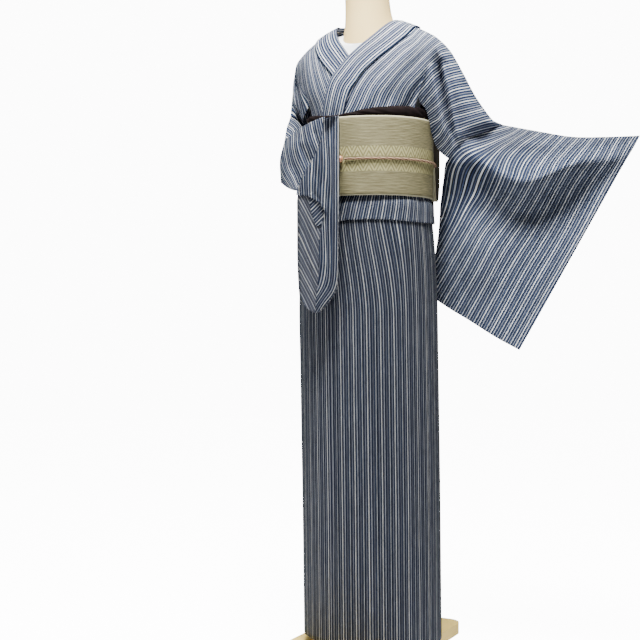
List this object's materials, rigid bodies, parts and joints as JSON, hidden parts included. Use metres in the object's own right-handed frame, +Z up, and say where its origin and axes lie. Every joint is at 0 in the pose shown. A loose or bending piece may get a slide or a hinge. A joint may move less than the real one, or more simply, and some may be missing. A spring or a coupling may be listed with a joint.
{
  "type": "summer kimono on a dress form",
  "caption": "Worn striped summer kimono with collar, tucked waist fold and hanging sleeves, a wide belt with bow, scarf and cord, on a limbless form and board.",
  "frame": {"origin": "middle of the figure's axis on the underside of the wooden base", "axes": "+Z up, the front of the figure faces -Y, its left side is at +X"},
  "size_m": [0.7475, 0.512, 1.442],
  "materials": {
    "striped_cloth": "thin open weave with vertical stripes",
    "belt_cloth": "fine ribs running round, two zigzag bands",
    "scarf_cloth": "soft, dull",
    "cord": "twisted",
    "bead": "polished",
    "form_cover": "smooth, stretched",
    "form_skin": "smooth",
    "wood": "pale, satin",
    "metal": "satin"
  },
  "bodies": {
    "root": {"left_skirt_back": "striped_cloth", "left_skirt_front": "striped_cloth", "left_skirt_overlap": "striped_cloth", "right_skirt_back": "striped_cloth", "right_skirt_front": "striped_cloth", "right_skirt_overlap": "striped_cloth", "left_tucked_fold": "striped_cloth", "right_tucked_fold": "striped_cloth", "left_upper_body": "striped_cloth", "right_upper_body": "striped_cloth", "collar": "striped_cloth", "left_sleeve": "striped_cloth", "right_sleeve_elbow": "striped_cloth", "right_sleeve_front": "striped_cloth", "belt_wrap": "belt_cloth", "belt_bow": "belt_cloth", "belt_scarf": "scarf_cloth", "belt_cord": "cord", "belt_bead": "bead", "form_cover": "form_cover", "form_neck": "form_skin", "stand_board": "wood", "stand_pole": "metal"}
  },
  "joints": []
}
